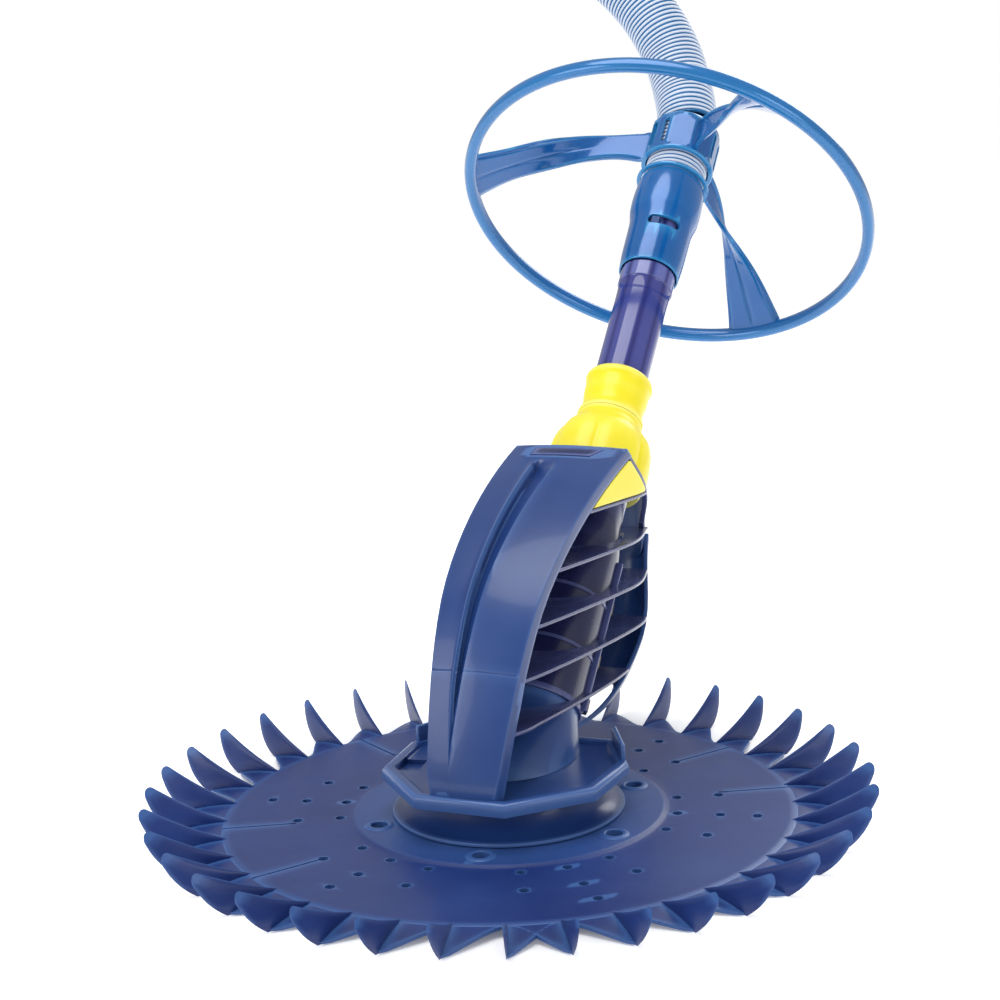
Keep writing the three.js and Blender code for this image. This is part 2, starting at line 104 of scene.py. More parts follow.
from_middle.inputs[1].default_value = (0, -0.12, 0)
# The floor glows evenly far out, but its glow fades from full at 0.27 m from the disc's axis to
# nothing at 0.16 m: a painted shadow under and round the cleaner.
floor_glow_and_painted_shadow = floor_nodes.new("ShaderNodeMapRange")
floor_glow_and_painted_shadow.inputs["From Min"].default_value = 0.16
floor_glow_and_painted_shadow.inputs["From Max"].default_value = 0.27
floor_glow_and_painted_shadow.inputs["To Min"].default_value = 0.0
floor_glow_and_painted_shadow.inputs["To Max"].default_value = 0.56
floor_links.new(floor_place.outputs["Object"], from_middle.inputs[0])
floor_links.new(from_middle.outputs["Value"], floor_glow_and_painted_shadow.inputs["Value"])
floor_links.new(floor_glow_and_painted_shadow.outputs["Result"], floor_shader.inputs["Emission Strength"])
floor_data.materials.append(floor_finish)

# Suction hose: a blow-moulded spiral tube with pale ribs and blue grooves. It leaves the mouth
# of the wheel hub and is held up from above, so it is one smooth bend up to its cuff.
MM = 0.001
HOSE_ROUTE = [
    (0, .3085, .435), (-.004, .3185, .4485), (-.009, .328, .461), (-.016, .338, .477),
    (-.024, .347, .493), (-.034, .354, .509), (-.045, .360, .524), (-.058, .365, .539),
    (-.072, .368, .553), (-.087, .370, .566), (-.102, .371, .579), (-.118, .371, .592),
    (-.134, .370, .604), (-.150, .368, .616), (-.166, .365, .628), (-.182, .361, .639),
    (-.199, .357, .649),
]
RIB_PITCH = 4.1
RIB_RADIUS = 24.35
GROOVE_RADIUS = 23.1
HOSE_BORE = 21.0


def belongs(piece, body, slot, *nodes):
    """Says which body a piece moves with and hides the CAD nodes it stands for. slot is not used.
    """
    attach(piece, body)
    if nodes:
        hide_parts(*nodes)


def face_outward(body):
    bmesh.ops.recalc_face_normals(body, faces=body.faces)


def turned(profile, steps=72):
    """A closed body turned about the z axis from a closed outline of (radius, height)."""
    body = bmesh.new()
    corners = [body.verts.new((radius, 0, height)) for radius, height in profile]
    for here, there in zip(corners, corners[1:] + corners[:1]):
        body.edges.new((here, there))
    bmesh.ops.spin(
        body, geom=body.verts[:] + body.edges[:], cent=(0, 0, 0), axis=(0, 0, 1),
        angle=2 * math.pi, steps=steps, use_merge=True, use_duplicate=False)
    bmesh.ops.remove_doubles(body, verts=body.verts, dist=1e-4)
    face_outward(body)
    return body


def finished(name, body, material, place=Matrix.Identity(4), crease=35, scale=MM):
    """The bmesh, drawn in millimetres in its own frame, as an object standing in its place."""
    bmesh.ops.transform(body, matrix=place @ Matrix.Scale(scale, 4), verts=body.verts)
    mesh = bpy.data.meshes.new(name)
    body.to_mesh(mesh)
    body.free()
    mesh.polygons.foreach_set("use_smooth", [True] * len(mesh.polygons))
    mesh.set_sharp_from_angle(angle=math.radians(crease))
    piece = bpy.data.objects.new(name, mesh)
    bpy.context.scene.collection.objects.link(piece)
    mesh.materials.append(material)
    return piece


def plastic(name, colour, shade, light, roughness, gloss=0.0, grain=0.05, grain_size=700.0,
            metal=0.0, see_through=0.0, shine=0.4):
    """Moulded plastic: a colour with slow drifts and faint flow marks, a fine moulded grain,
    uneven polish, and paler sharp edges, partly rubbed wear and partly a painted edge highlight."""
    material = bpy.data.materials.new(name)
    material.use_nodes = True
    nodes, links = material.node_tree.nodes, material.node_tree.links
    shader = nodes["Principled BSDF"]
    shader.inputs["Metallic"].default_value = metal
    shader.inputs["Coat Weight"].default_value = gloss
    shader.inputs["Coat Roughness"].default_value = 0.08
    shader.inputs["Transmission Weight"].default_value = see_through
    shader.inputs["IOR"].default_value = 1.46
    shader.inputs["Specular IOR Level"].default_value = shine
    place = nodes.new("ShaderNodeTexCoord")
    drift = nodes.new("ShaderNodeTexNoise")
    drift.inputs["Scale"].default_value = 14
    drift.inputs["Detail"].default_value = 4
    links.new(place.outputs["Object"], drift.inputs["Vector"])
    tones = nodes.new("ShaderNodeValToRGB")
    tones.color_ramp.elements[0].position = 0.3
    tones.color_ramp.elements[0].color = (*shade, 1)
    tones.color_ramp.elements[1].position = 0.72
    tones.color_ramp.elements[1].color = (*colour, 1)
    links.new(drift.outputs["Fac"], tones.inputs["Fac"])
    # sharp edges are paled towards the light colour: partly rubbed wear, partly a painted highlight
    edge = nodes.new("ShaderNodeNewGeometry")
    rubbed_and_highlit_edges = nodes.new("ShaderNodeValToRGB")
    rubbed_and_highlit_edges.color_ramp.elements[0].position = 0.505
    rubbed_and_highlit_edges.color_ramp.elements[0].color = (0, 0, 0, 1)
    rubbed_and_highlit_edges.color_ramp.elements[1].position = 0.56
    rubbed_and_highlit_edges.color_ramp.elements[1].color = (0.75, 0.75, 0.75, 1)
    links.new(edge.outputs["Pointiness"], rubbed_and_highlit_edges.inputs["Fac"])
    blend = nodes.new("ShaderNodeMix")
    blend.data_type = "RGBA"
    blend.inputs[7].default_value = (*light, 1)
    links.new(rubbed_and_highlit_edges.outputs["Color"], blend.inputs[0])
    links.new(tones.outputs["Color"], blend.inputs[6])
    links.new(blend.outputs[2], shader.inputs["Base Color"])
    polish = nodes.new("ShaderNodeTexNoise")
    polish.inputs["Scale"].default_value = 55
    polish.inputs["Detail"].default_value = 5
    links.new(place.outputs["Object"], polish.inputs["Vector"])
    wiped = nodes.new("ShaderNodeMapRange")
    wiped.inputs["To Min"].default_value = max(0.03, roughness - 0.06)
    wiped.inputs["To Max"].default_value = roughness + 0.09
    links.new(polish.outputs["Fac"], wiped.inputs["Value"])
    links.new(wiped.outputs["Result"], shader.inputs["Roughness"])
    moulding = nodes.new("ShaderNodeTexNoise")
    moulding.inputs["Scale"].default_value = grain_size
    links.new(place.outputs["Object"], moulding.inputs["Vector"])
    bump = nodes.new("ShaderNodeBump")
    bump.inputs["Strength"].default_value = grain
    bump.inputs["Distance"].default_value = 0.0006
    links.new(moulding.outputs["Fac"], bump.inputs["Height"])
    links.new(bump.outputs["Normal"], shader.inputs["Normal"])
    return material


def painted(material, attribute, colour, edges=None):
    """Lays another colour over a material where a mesh attribute is high."""
    nodes, links = material.node_tree.nodes, material.node_tree.links
    where = nodes.new("ShaderNodeAttribute")
    where.attribute_name = attribute
    level = where.outputs["Fac"]
    if edges:
        ramp = nodes.new("ShaderNodeValToRGB")
        ramp.color_ramp.elements[0].position, ramp.color_ramp.elements[1].position = edges
        links.new(level, ramp.inputs["Fac"])
        level = ramp.outputs["Color"]
    two_tone = nodes.new("ShaderNodeMix")
    two_tone.data_type = "RGBA"
    two_tone.inputs[7].default_value = colour
    links.new(level, two_tone.inputs[0])
    shader = nodes["Principled BSDF"]
    links.new(shader.inputs["Base Color"].links[0].from_socket, two_tone.inputs[6])
    links.new(two_tone.outputs[2], shader.inputs["Base Color"])


def along_route(points, samples=12):
    """Points and lengths along a smooth line through the route's points."""
    fine = []
    ends = [2 * points[0] - points[1], *points, 2 * points[-1] - points[-2]]
    for a, b, c, d in zip(ends, ends[1:], ends[2:], ends[3:]):
        for step in range(samples):
            t = step / samples
            fine.append(0.5 * (2 * b + (c - a) * t + (2 * a - 5 * b + 4 * c - d) * t ** 2
                               + (3 * b - a - 3 * c + d) * t ** 3))
    fine.append(points[-1])
    lengths = [0.0]
    for here, there in zip(fine, fine[1:]):
        lengths.append(lengths[-1] + (there - here).length)
    return fine, lengths


hose_line, hose_lengths = along_route([Vector(p) for p in HOSE_ROUTE])
hose_frames = []
side = Vector((1, 0, 0))
for index, point in enumerate(hose_line):
    before, after = hose_line[max(index - 1, 0)], hose_line[min(index + 1, len(hose_line) - 1)]
    forward = (after - before).normalized()
    side = (side - forward * side.dot(forward)).normalized()
    hose_frames.append((point, side.copy(), forward.cross(side), forward))


def on_route(across, up, along):
    """A point beside the hose's middle line, from its place beside a straight one."""
    along = min(max(along, 0), hose_lengths[-1])
    index = next(i for i in range(1, len(hose_lengths)) if hose_lengths[i] >= along - 1e-9)
    share = (along - hose_lengths[index - 1]) / (hose_lengths[index] - hose_lengths[index - 1])
    start, ahead = hose_frames[index - 1], hose_frames[index]
    middle, x_axis, y_axis = (start[k].lerp(ahead[k], share) for k in range(3))
    return middle + x_axis * across + y_axis * up


hose_outline = []
height = 0.0
hose_span = hose_lengths[-1] / MM
while height + RIB_PITCH < hose_span:
    hose_outline += [
        (GROOVE_RADIUS, height), (GROOVE_RADIUS, height + 1.3), (RIB_RADIUS - 0.25, height + 1.7),
        (RIB_RADIUS, height + 2.2), (RIB_RADIUS, height + 3.0), (RIB_RADIUS - 0.25, height + 3.6),
    ]
    height += RIB_PITCH
hose_outline += [(GROOVE_RADIUS, height), (GROOVE_RADIUS, hose_span)]
hose_outline += [(HOSE_BORE, hose_span * step / 40) for step in range(40, -1, -1)]
hose_body = turned(hose_outline, 56)
groove_layer = hose_body.verts.layers.float.new("groove")
for vert in hose_body.verts:
    reach = math.hypot(vert.co.x, vert.co.y)
    vert[groove_layer] = 1.0 if reach < RIB_RADIUS - 0.6 else 0.0
for vert in hose_body.verts:
    vert.co = on_route(vert.co.x * MM, vert.co.y * MM, vert.co.z * MM)

hose_finish = plastic(
    "hose_plastic", (0.50, 0.56, 0.68), (0.42, 0.50, 0.64), (0.72, 0.76, 0.84), 0.38, grain=0.03)
painted(hose_finish, "groove", (0.02, 0.17, 0.40, 1), (0.35, 0.7))
hose = finished("suction_hose", hose_body, hose_finish, crease=60, scale=1)

# Hose cuff: the hose's moulded end, a bright blue socket with a grip collar and finger ribs.
# The hose is screwed into it, and the next length of hose pushes into its mouth.
SKY_COLOURS = ((0.003, 0.115, 0.38), (0.002, 0.085, 0.31), (0.03, 0.28, 0.58))
CUFF_OUTLINE = [
    (22.2, 0.4), (26.2, 0.4), (27, 1.2), (27, 12), (26.4, 13), (26.4, 40), (27, 42), (29, 45.5),
    (29.5, 46.5), (29.5, 53.5), (28.8, 54.6), (26, 56), (25.4, 57), (25, 69), (24.4, 70),
    (22.6, 70), (22.2, 69),
]
sky_finish = plastic("sky_plastic", *SKY_COLOURS, 0.2, gloss=0.6, grain=0.02, metal=0.15)
tip, tip_side, tip_up, tip_forward = hose_frames[-1]
cuff_place = Matrix.Translation(tip) @ Matrix(
    (tip_side, tip_up, tip_forward)).transposed().to_4x4()
cuff_body = turned(CUFF_OUTLINE, 72)
for vert in cuff_body.verts:
    reach = math.hypot(vert.co.x, vert.co.y)
    if 13.5 < vert.co.z < 39.5 and reach > 26:
        turn = math.atan2(vert.co.y, vert.co.x)
        swell = 1 + 0.014 * max(0.0, math.cos(18 * turn))
        vert.co.x *= swell
        vert.co.y *= swell
cuff = finished("cuff", cuff_body, sky_finish, cuff_place)
belongs(cuff, "cleaner", "sky_plastic", "hose_cuff")

belongs(hose, "cleaner", "hose_plastic", "hose")
[tuple(p) for p in hose_line[::3] + [hose_line[-1]]]

# Foot pad: a flat ring of black rubber under the hub, which slides on the pool floor.
DISC_AXIS_Y = -0.12
upright = Matrix.Translation((0, DISC_AXIS_Y, 0))
rubber_finish = plastic(
    "black_rubber", (0.022, 0.023, 0.027), (0.014, 0.014, 0.017), (0.05, 0.05, 0.055), 0.68,
    grain=0.35, grain_size=900)
foot_pad = finished("rubber_foot_pad", turned([
    (38.3, 0.5), (39, 0), (75, 0), (76, 0.8), (76, 2.6), (75.4, 3.2), (38.8, 3.2), (38.3, 2.8),
], 96), rubber_finish, upright)
belongs(foot_pad, "cleaner", "black_rubber", "foot_pad")

# Foot hub: a bell of navy plastic that the disc turns on. Its flared skirt keeps the disc down.
NAVY_COLOURS = ((0.018, 0.056, 0.215), (0.012, 0.040, 0.170), (0.08, 0.17, 0.42))
navy_finish = plastic("navy_plastic", *NAVY_COLOURS, 0.3, gloss=0.18, grain=0.04)
foot_hub = finished("bell_hub", turned([
    (38, 3.6), (65.6, 3.6), (65.6, 8.5), (76.4, 8.5), (77, 9), (77, 10.2), (76.4, 10.8),
    (73, 11.4), (69, 12.8), (65, 15.6), (61.8, 19.5), (59.8, 24), (58.6, 28.5), (58, 30.6),
    (38, 30.6),
], 120), navy_finish, upright, crease=28)
belongs(foot_hub, "cleaner", "navy_plastic", "foot_hub")

# Finned disc: one flexible urethane moulding. A thin plate with a raised pad, vent holes and
# slits, whose rim is cut into 36 fins: each a flat drooping toe beside an upright blade.
FIN_COUNT = 36
DISC_FRONT = -63.3
VALLEY_RADIUS = 190
FIN_ROOT = 184
TOE_RADIUS = 221
TIP_RADIUS = 241.4
BLADE_HEIGHT = 24.4
TIP_ROUND = 3.6
BLADE_WALL = 1.8
SWEEP = 9.5
DISC_LEVEL = 5.0
disc_finish = plastic(
    "disc_urethane", (0.014, 0.040, 0.185), (0.009, 0.026, 0.140), (0.05, 0.13, 0.36), 0.36,
    gloss=0.05, grain=0.08, grain_size=420)


def bent_grid(body, columns, rows, place):
    """A sheet of columns by rows, whose corners go where place(across, along) says."""
    made = bmesh.ops.create_grid(body, x_segments=columns, y_segments=rows, size=0.5)["verts"]
    for vert in made:
        vert.co = place(vert.co.x + 0.5, vert.co.y + 0.5)
    return made


def smooth_step(value):
    value = min(max(value, 0.0), 1.0)
    return value * value * (3 - 2 * value)


def thicken(body, verts, wall):
    """Gives a sheet a wall on the far side of its faces and closes its rim."""
    faces = list({face for vert in verts for face in vert.link_faces})
    bmesh.ops.solidify(body, geom=faces, thickness=wall)


def blade_crest(share):
    """The blade's upper outline, as (radius, height): the top edge, the round tip, the fall."""
    middle = (TIP_RADIUS - TIP_ROUND, BLADE_HEIGHT - TIP_ROUND)

    def on_tip(degrees):
        turn = math.radians(degrees)
        return middle[0] + TIP_ROUND * math.cos(turn), middle[1] + TIP_ROUND * math.sin(turn)

    if share < 0.5:
        t = share / 0.5
        end = on_tip(110)
        sag = 1.3 * math.sin(math.pi * t)
        return FIN_ROOT + (end[0] - FIN_ROOT) * t, 0.6 + (end[1] - 0.6) * t - sag
    if share < 0.68:
        return on_tip(110 - 148 * (share - 0.5) / 0.18)
    t = (share - 0.68) / 0.32
    start, root = on_tip(-38), (TOE_RADIUS, -4.2)
    belly = 2.4 * math.sin(math.pi * t ** 0.9)
    return (start[0] + (root[0] - start[0]) * t + 0.76 * belly,
            start[1] + (root[1] - start[1]) * t - 0.65 * belly)


def crease_line(share):
    """Where blade and toe meet, as (radius, height above the plate's middle)."""
    return (FIN_ROOT + (TOE_RADIUS - FIN_ROOT) * share, 0.4 - 4.4 * max(0, share) ** 1.6)


def make_fin(body, degrees, hand, sweep):
    spin = Matrix.Rotation(math.radians(degrees), 4, "Z")

    def blade_place(across, along):
        low, high = crease_line(across), blade_crest(across)
        radius = low[0] + (high[0] - low[0]) * along
        rise = low[1] + (high[1] - low[1]) * along
        lean = -hand * sweep * max(0, rise / BLADE_HEIGHT) ** 1.25
        belly = hand * 1.1 * math.sin(math.pi * along) * math.sin(math.pi * across)
        return spin @ Vector((radius, lean + belly, DISC_LEVEL + rise))

    def toe_place(across, along):
        outer = VALLEY_RADIUS + (TOE_RADIUS - VALLEY_RADIUS) * (1 - along) ** 1.35
        radius = 178 + (outer - 178) * across
        drop = 4.2 * max(0, (radius - VALLEY_RADIUS) / (TOE_RADIUS - VALLEY_RADIUS)) ** 1.4
        turn = hand * math.radians(8.6 * along ** 0.9)
        return spin @ Vector((
            radius * math.cos(turn), radius * math.sin(turn), DISC_LEVEL + 0.9 - drop))

    blade = bent_grid(body, 36, 7, blade_place)
    thicken(body, blade, BLADE_WALL)
    toe = bent_grid(body, 9, 9, toe_place)
    thicken(body, toe, 2.2)


disc_body = turned([
    (66.2, 3.6), (188, 3.6), (VALLEY_RADIUS, 4.2), (VALLEY_RADIUS, 5.8), (188.6, 6.4),
    *[(radius, 6.4) for radius in range(184, 108, -4)],
    (107, 6.4), (104.5, 6.8), (103, 7.8), (101.5, 8), (67, 8), (66.2, 7.4),
], 180)
fin_body = bmesh.new()
for number in range(FIN_COUNT // 2):
    sweep = SWEEP * math.sin(math.pi * (number + 0.5) / (FIN_COUNT / 2))
    offset = 360 / FIN_COUNT * (number + 0.5) - math.degrees(sweep / TIP_RADIUS)
    make_fin(fin_body, DISC_FRONT - offset, 1, sweep)
    make_fin(fin_body, DISC_FRONT + offset, -1, sweep)
for vert in fin_body.verts:
    vert.co.z = max(vert.co.z, 0.3)
face_outward(fin_body)
fins = finished("disc_fins", fin_body, disc_finish, upright, crease=40)
belongs(fins, "disc", "disc_urethane", "finned_disc")
disc = finished("disc_plate", disc_body, disc_finish, upright, crease=32)

cutter_body = bmesh.new()


def vent(radius, reach, degrees, sides):
    turn = math.radians(degrees)
    place = Matrix.Translation((reach * math.cos(turn), reach * math.sin(turn), 5))
    bmesh.ops.create_cone(
        cutter_body, cap_ends=True, segments=sides, radius1=radius, radius2=radius, depth=14,
        matrix=place)


for sector in range(6):
    middle = 60 * sector - 49
    vent(5.5, 89, middle - 30, 28)
    vent(3.2, 164, middle, 20)
    for step in (-15, 0, 15):
        vent(3.2, 112, middle + step, 20)
        vent(3.2, 140, middle + step, 20)
for degrees in (-152, -124, 28, 56, 116, 148):
    slit = Matrix.Rotation(math.radians(degrees), 4, "Z") @ Matrix.Translation((166, 0, 5))
    bmesh.ops.create_cube(
        cutter_body, size=1, matrix=slit @ Matrix.Diagonal((50, 1.5, 14, 1)))
cutter = finished("vent_cutter", cutter_body, disc_finish, upright)


def cut_out(piece, tool):
    """Cuts the tool's bodies out of a piece for good, and throws the tool away."""
    cut = piece.modifiers.new("cut", "BOOLEAN")
    cut.operation = "DIFFERENCE"
    cut.solver = "EXACT"
    cut.use_self = True
    cut.object = tool
    graph = bpy.context.evaluated_depsgraph_get()
    graph.update()
    left = bpy.data.meshes.new_from_object(piece.evaluated_get(graph))
    piece.modifiers.clear()
    piece.data = left
    bpy.data.objects.remove(tool)
    left.polygons.foreach_set("use_smooth", [True] * len(left.polygons))
    left.set_sharp_from_angle(angle=math.radians(32))


cut_out(disc, cutter)
belongs(disc, "disc", "disc_urethane", "finned_disc")

# the six big holes have soft raised rims, moulded in one with the plate
for sector in range(6):
    turn = math.radians(60 * sector - 79)
    rim = turned([(5.6, 7.6), (5.6, 8.6), (6.4, 9.2), (8.2, 8.8), (9.8, 8.05), (9.8, 7.6)], 36)
    place = upright @ Matrix.Translation((0.089 * math.cos(turn), 0.089 * math.sin(turn), 0))
    hole_rim = finished(f"hole_rim_{sector + 1}", rim, disc_finish, place, crease=50)
    belongs(hole_rim, "disc", "disc_urethane")

# Body flange: an eight-sided navy tray with a fat rounded rim, screwed down on the bell hub.
# It carries the leaning body, and has a slot at its left front and a low fence at the back.

def round_edges(body, edges, offset, segments):
    """Bevels edges of a body with a round section."""
    bmesh.ops.bevel(body, geom=edges, offset=offset, segments=segments, profile=0.5,
                    affect="EDGES", material=-1)


FLANGE_CORNERS = [(31, -80), (75, -35), (79, 17), (56, 60)]
SIDES = (("right", 1), ("left", -1))
flange_outline = FLANGE_CORNERS + [(-x, y) for x, y in reversed(FLANGE_CORNERS)]
flange_body = bmesh.new()
flange_face = flange_body.faces.new([flange_body.verts.new((x, y, 31)) for x, y in flange_outline])
risen = bmesh.ops.extrude_face_region(flange_body, geom=[flange_face])["geom"]
risen_verts = [item for item in risen if isinstance(item, bmesh.types.BMVert)]
bmesh.ops.translate(flange_body, vec=(0, 0, 8.8), verts=risen_verts)
top_face = next(item for item in risen if isinstance(item, bmesh.types.BMFace))
bmesh.ops.inset_region(flange_body, faces=[top_face], thickness=7.5, depth=0, use_even_offset=True)
bmesh.ops.inset_region(flange_body, faces=[top_face], thickness=2.0, depth=-2.6,
                       use_even_offset=True)
face_outward(flange_body)
outer_rim = [
    edge for edge in flange_body.edges
    if all(vert.co.z > 39 and (round(abs(vert.co.x), 3), round(vert.co.y, 3)) in FLANGE_CORNERS
           for vert in edge.verts)]
round_edges(flange_body, outer_rim, 3.4, 5)
sharp = [edge for edge in flange_body.edges if edge.calc_face_angle(0) > math.radians(40)]
round_edges(flange_body, sharp, 0.7, 2)
flange = finished("flange_tray", flange_body, navy_finish, upright)

slot_body = bmesh.new()
bmesh.ops.create_cube(slot_body, size=1, matrix=Matrix.Translation((-60, -20, 40))
                      @ Matrix.Rotation(math.radians(8), 4, "Z") @ Matrix.Diagonal((15, 21, 12, 1)))
bmesh.ops.create_cone(
    slot_body, cap_ends=True, segments=32, radius1=27, radius2=27, depth=90,
    matrix=Matrix.Translation((0, -7.3, 5)) @ Matrix.Rotation(math.radians(-45.4), 4, "X")
    @ Matrix.Translation((0, 0, 45)))
cut_out(flange, finished("flange_cutter", slot_body, navy_finish, upright))
belongs(flange, "cleaner", "navy_plastic", "body_flange")

for side, hand in SIDES:
    fence_body = bmesh.new()
    bmesh.ops.create_cube(fence_body, size=1, matrix=Matrix.Translation((hand * 65, 37, 44))
                          @ Matrix.Rotation(hand * math.radians(28.1), 4, "Z")
                          @ Matrix.Diagonal((3.2, 40, 13, 1)))
    round_edges(fence_body, fence_body.edges[:], 1.1, 3)
    fence = finished(f"flange_fence_{side}", fence_body, navy_finish, upright)
    belongs(fence, "cleaner", "navy_plastic")

# Throat: a flared navy duct that leads from the foot's mouth up into the chamber.
LEAN = math.radians(45.4)
leaning = Matrix.Translation((0, -0.1273, 0.005)) @ Matrix.Rotation(-LEAN, 4, "X")
throat_body = turned([
    (27, 0), (44, 0), (43.4, 20), (42, 35), (39.4, 50), (36, 62), (33, 71), (31, 79.7), (27, 79.7),
], 72)


def trim_below(body, level):
    """Cuts off what lies under a level plane, from a body drawn in the leaning frame."""
    bmesh.ops.bisect_plane(
        body, geom=body.verts[:] + body.edges[:] + body.faces[:], clear_inner=True,
        plane_co=leaning.inverted() @ Vector((0, DISC_AXIS_Y, level)) / MM,
        plane_no=leaning.to_3x3().inverted() @ Vector((0, 0, 1)))


trim_below(throat_body, 0.0375)
bmesh.ops.holes_fill(throat_body, edges=throat_body.edges)
throat = finished("throat_duct", throat_body, navy_finish, leaning)
belongs(throat, "cleaner", "navy_plastic", "throat")

# Front shell: the crowned navy band that sweeps up the front of the body. A long tapering
# groove with a raised left lip runs down it, and a recess near its top holds the label plate.

def walled(piece, thickness, offset=-1):
    """Gives a sheet its wall, on the inner side unless offset says otherwise."""
    wall = piece.modifiers.new("wall", "SOLIDIFY")
    wall.thickness = thickness
    wall.offset = offset


def rounded(piece, width, segments, angle=50):
    """Rounds a piece's sharp edges."""
    edge = piece.modifiers.new("round_off", "BEVEL")
    edge.width = width
    edge.segments = segments
    if angle:
        edge.limit_method = "ANGLE"
        edge.angle_limit = math.radians(angle)


BULGE = 5.0
BAND_WALL = 3.0
BAND_LIP = 9.0
BAND_TOP = 258.0
GROOVE_TOP = 230.0
GROOVE_END = -12.0


def outward_sheet(columns, rows, place, axis, hand):
    """A bent sheet whose faces look towards the hand side of an axis (0 for x, 1 for y)."""
    body = bmesh.new()
    bent_grid(body, columns, rows, place)
    face_outward(body)
    if hand * sum(face.normal[axis] for face in body.faces) < 0:
        bmesh.ops.reverse_faces(body, faces=body.faces)
    return body


def front_depth(a):
    return 112.6 - 0.0098 * abs(a - 100) ** 1.72


def rear_depth(a):
    return max(111 - 0.0014 * abs(a - 197) ** 2.28, 60 - front_depth(a))


def front_half_width(a):
    return 25.6 + 0.098 * a - 0.00014 * a * a


def top_taper(a, p):
    """How much the body narrows towards the ear, near the top of its back."""
    return 1 - 0.33 * smooth_step((p + 25) / 87) * smooth_step((a - 180) / 78)


def body_half_width(a, p):
    """Half width of the body at station a up the pipe and depth p behind the pipe's axis."""
    front, rear = -front_depth(a), rear_depth(a)
    shoulder = (front + rear) / 2
    if p < shoulder:
        share = max(0.0, (p - front) / (shoulder - front))
        return (front_half_width(a) + BULGE * math.sin(share * math.pi / 2)) * top_taper(a, p)
    share = min(1.0, (p - shoulder) / (rear - shoulder)) ** 1.25
    return (front_half_width(a) + BULGE) * max(0.0, 1 - share * share) ** 0.4 * top_taper(a, p)


def groove_sides(a):
    """The groove's left and right edges across the band."""
    left = -16 + 3.6 * (1 - a / 232) if a > 38 else -13 + 3.7 * (38 - a) / 50
    right = -7.4 * (1 - (a - 37) / 195) if a > 37 else -7.4 - 1.9 * (37 - a) / 49
    return left, max(right, left + 0.4)


def groove_depth(across, a):
    """How far the band's face sinks at a point, with a steep left wall and a slow right one."""
    left, right = groove_sides(a)
    share = (across - left) / (right - left)
    end_mask = 1.0
    if a > GROOVE_TOP:
        end = max(0.0, 1 - ((a - GROOVE_TOP) / 9) ** 2)
        share_in = 0.4 - 0.4 * math.sqrt(end)
        if 0 < share < 1:
            end_mask = (smooth_step((share - share_in) / 0.12)
                        * smooth_step((1.1 - share_in - share) / 0.3))
    ease = smooth_step((a - GROOVE_END) / 70) * smooth_step((GROOVE_TOP + 9 - a) / 14)
    if -0.25 < share <= 0:
        return -1.3 * ease * smooth_step((share + 0.25) / 0.25)
    if 0 < share < 1:
        return ease * end_mask * 8.5 * (1 - share) ** 0.9 * smooth_step(share / 0.1 + 0.2)
    return 0.0


BAND_ROWS = [-24, -23.2, -21.6, -19.2, -16, -12, -6, 0, 8, 16, 24, 32, 40, 46, 47.6, 48.2, 48.8,
             50.4, 56, 66, 80, 95, 110, 125, 140, 154, 168, 180, 191, 201, 210, 217, 222, 226,
             229, 231.5, 234, 236.5, 239, 241.5, 245, 249, 253, 256, 258]
PARTING_LINE = 48.2


def band_columns(a):
    """Places across the band's face, drawn together along the groove."""
    half = front_half_width(a)
    left, right = groove_sides(a)
    wide = right - left
    inner_left = left - 0.3 * wide
    places = [-half + (inner_left + half) * t for t in (0, 0.04, 0.15, 0.4, 0.7, 0.9)]
    places += [inner_left, left - 0.15 * wide, left - 0.04 * wide, left + 0.04 * wide]
    places += [left + wide * t for t in (0.1, 0.2, 0.35, 0.5, 0.65, 0.8, 0.92, 1.0)]
    places += [right + (half - right) * t for t in (0.08, 0.25, 0.5, 0.75, 0.92, 0.97, 1)]
    return places


column_count = len(band_columns(100)) + 6
band_body = bmesh.new()


def band_place(across, along):
    row = along * (len(BAND_ROWS) - 1)
    a = BAND_ROWS[int(round(row))]
    places = band_columns(a)
    column = int(round(across * (column_count - 1)))
    tuck = 1 - math.sqrt(1 - min(1.0, max(0.0, (-12 - a) / 12.5)) ** 2)
    front, half = -front_depth(a) + 4.5 * tuck, front_half_width(a)
    narrow = 1 - 0.17 * tuck
    if column < 3:
        lip = BAND_LIP * (3 - column) / 3
        return Vector((-narrow * body_half_width(a, front + lip), front + lip, a))
    if column >= column_count - 3:
        lip = BAND_LIP * (column - column_count + 4) / 3
        return Vector((narrow * body_half_width(a, front + lip), front + lip, a))
    x = places[column - 3]
    crown = 2.5 * (1 - (x / half) ** 2)
    notch = 0.5 if a == PARTING_LINE else 0.0
    return Vector((narrow * x, front - crown + groove_depth(x, a) + notch, a))


bent_grid(band_body, column_count - 1, len(BAND_ROWS) - 1, band_place)
face_outward(band_body)
front_band = finished("front_band", band_body, navy_finish, leaning, crease=38)
walled(front_band, BAND_WALL * MM)
rounded(front_band, 0.0008, 2)
belongs(front_band, "cleaner", "navy_plastic", "front_shell")

# Label plate: a blank dark plate with one mitred end, bonded in a shallow recess at the top of
# the front band.
LABEL_OUTLINE = [(-24, 244), (20, 244), (26.5, 254.5), (-24, 254.5)]


def label_body(grow, top, bottom):
    """The label's outline laid on the band's crowned face, from one depth to another."""
    body = bmesh.new()
    (x0, a0), (x1, _), (x2, a2), _ = LABEL_OUTLINE

    def place(across, along):
        a = a0 - grow + (a2 - a0 + 2 * grow) * along
        right = x1 + (x2 - x1) * along + grow
        x = x0 - grow + (right - x0 + grow) * across
        crown = 2.5 * (1 - (x / front_half_width(a)) ** 2)
        return Vector((x, -front_depth(a) - crown - top, a))

    sheet = bent_grid(body, 16, 5, place)
    face_outward(body)
    if sheet[0].link_faces[0].normal.y < 0:
        bmesh.ops.reverse_faces(body, faces=body.faces)
    bmesh.ops.solidify(body, geom=body.faces[:], thickness=-(top - bottom))
    face_outward(body)
    return body


